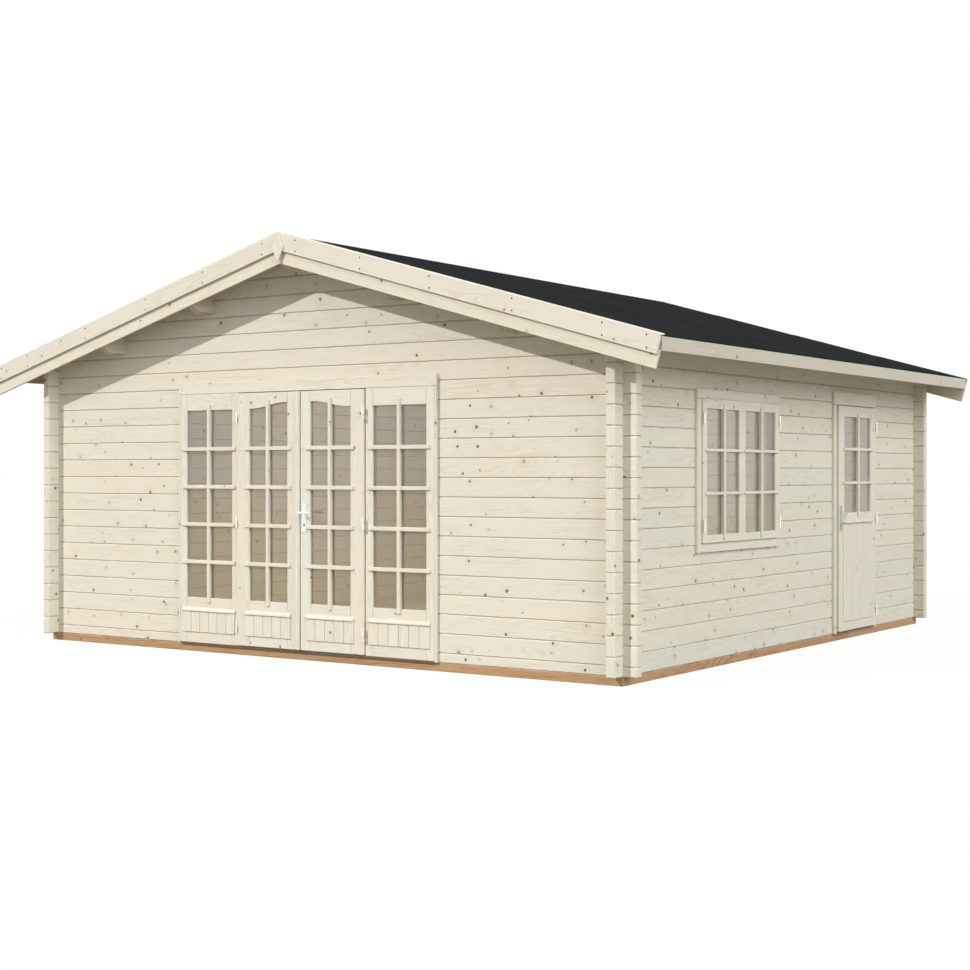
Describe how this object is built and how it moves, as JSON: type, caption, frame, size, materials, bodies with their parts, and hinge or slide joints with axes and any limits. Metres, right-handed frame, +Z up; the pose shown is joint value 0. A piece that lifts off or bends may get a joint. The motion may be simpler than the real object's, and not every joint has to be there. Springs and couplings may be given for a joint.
{
  "type": "log cabin",
  "caption": "Square single-room log cabin with a low gable roof, glazed double door between side lights, a casement window and a side door.",
  "frame": {"origin": "on the ground at the middle of the whole outline, roof overhangs included", "axes": "+Z up, the front gable with the double door faces -Y, the wall with the window and the single door faces +X"},
  "size_m": [6.276, 5.871, 3.1235],
  "materials": {
    "log_timber": "planed untreated spruce with small knots",
    "trim_timber": "planed untreated spruce boards",
    "joinery": "smooth planed spruce joinery",
    "treated_timber": "brown impregnated timber",
    "floor_timber": "planed floor boards",
    "roof_felt": "near-black mineral roofing felt",
    "clear_glass": "clear float glass",
    "threshold_metal": "matt aluminium strip",
    "hinge_metal": "zinc-plated hinge barrels",
    "handle_metal": "satin metal lock plates and levers"
  },
  "bodies": {
    "building": {"apex_plates": "trim_timber", "barge_caps": "trim_timber", "base_beams": "treated_timber", "eave_boards": "trim_timber", "floor_boards": "floor_timber", "floor_joists": "treated_timber", "frame_knuckles": "hinge_metal", "front_door_frame": "joinery", "front_gable": "log_timber", "front_lower_barges": "trim_timber", "front_upper_barges": "trim_timber", "front_wall_left": "log_timber", "front_wall_right": "log_timber", "front_wall_top": "log_timber", "left_purlins": "log_timber", "left_roof_boards": "log_timber", "left_roof_felt": "roof_felt", "left_side_light": "joinery", "left_wall": "log_timber", "rear_gable": "log_timber", "rear_lower_barges": "trim_timber", "rear_upper_barges": "trim_timber", "rear_wall": "log_timber", "ridge_purlin": "log_timber", "right_purlins": "log_timber", "right_roof_boards": "log_timber", "right_roof_felt": "roof_felt", "right_side_light": "joinery", "right_wall_front": "log_timber", "right_wall_lower": "log_timber", "right_wall_middle": "log_timber", "right_wall_rear": "log_timber", "right_wall_top": "log_timber", "side_door_frame": "joinery", "side_light_glass": "clear_glass", "thresholds": "threshold_metal", "window_frame": "joinery", "window_glass": "clear_glass", "window_hinges": "hinge_metal", "window_sashes": "joinery"},
    "left_door": {"left_leaf": "joinery", "left_leaf_glass": "clear_glass", "meeting_strip": "joinery", "left_leaf_knuckles": "hinge_metal"},
    "right_door": {"right_leaf": "joinery", "right_leaf_glass": "clear_glass", "front_lock_plates": "handle_metal", "right_leaf_knuckles": "hinge_metal"},
    "front_handle": {"front_lever": "handle_metal"},
    "wall_door": {"side_door": "joinery", "side_door_glass": "clear_glass", "side_lock_plates": "handle_metal", "side_door_knuckles": "hinge_metal"},
    "wall_door_handle": {"side_lever": "handle_metal"}
  },
  "joints": [
    {"name": "left_door_swing", "type": "hinge", "parent": "building", "child": "left_door", "pos_m": [-0.608, -2.707, 1], "axis": [0, 0, -1], "range_deg": [0, 105]},
    {"name": "right_door_swing", "type": "hinge", "parent": "building", "child": "right_door", "pos_m": [0.608, -2.707, 1], "axis": [0, 0, 1], "range_deg": [0, 105]},
    {"name": "front_lever_turn", "type": "hinge", "parent": "right_door", "child": "front_handle", "pos_m": [0.056, -2.6985, 1.085], "axis": [0, 1, 0], "range_deg": [0, 40], "stiffness_Nm_per_rad": 1.2, "springref_deg": -20.05},
    {"name": "wall_door_swing", "type": "hinge", "parent": "building", "child": "wall_door", "pos_m": [2.7505, 1.636, 1], "axis": [0, 0, 1], "range_deg": [0, 105]},
    {"name": "wall_lever_turn", "type": "hinge", "parent": "wall_door", "child": "wall_door_handle", "pos_m": [2.742, 0.869, 1.04], "axis": [-1, 0, 0], "range_deg": [0, 40], "stiffness_Nm_per_rad": 1.2, "springref_deg": -20.05}
  ]
}
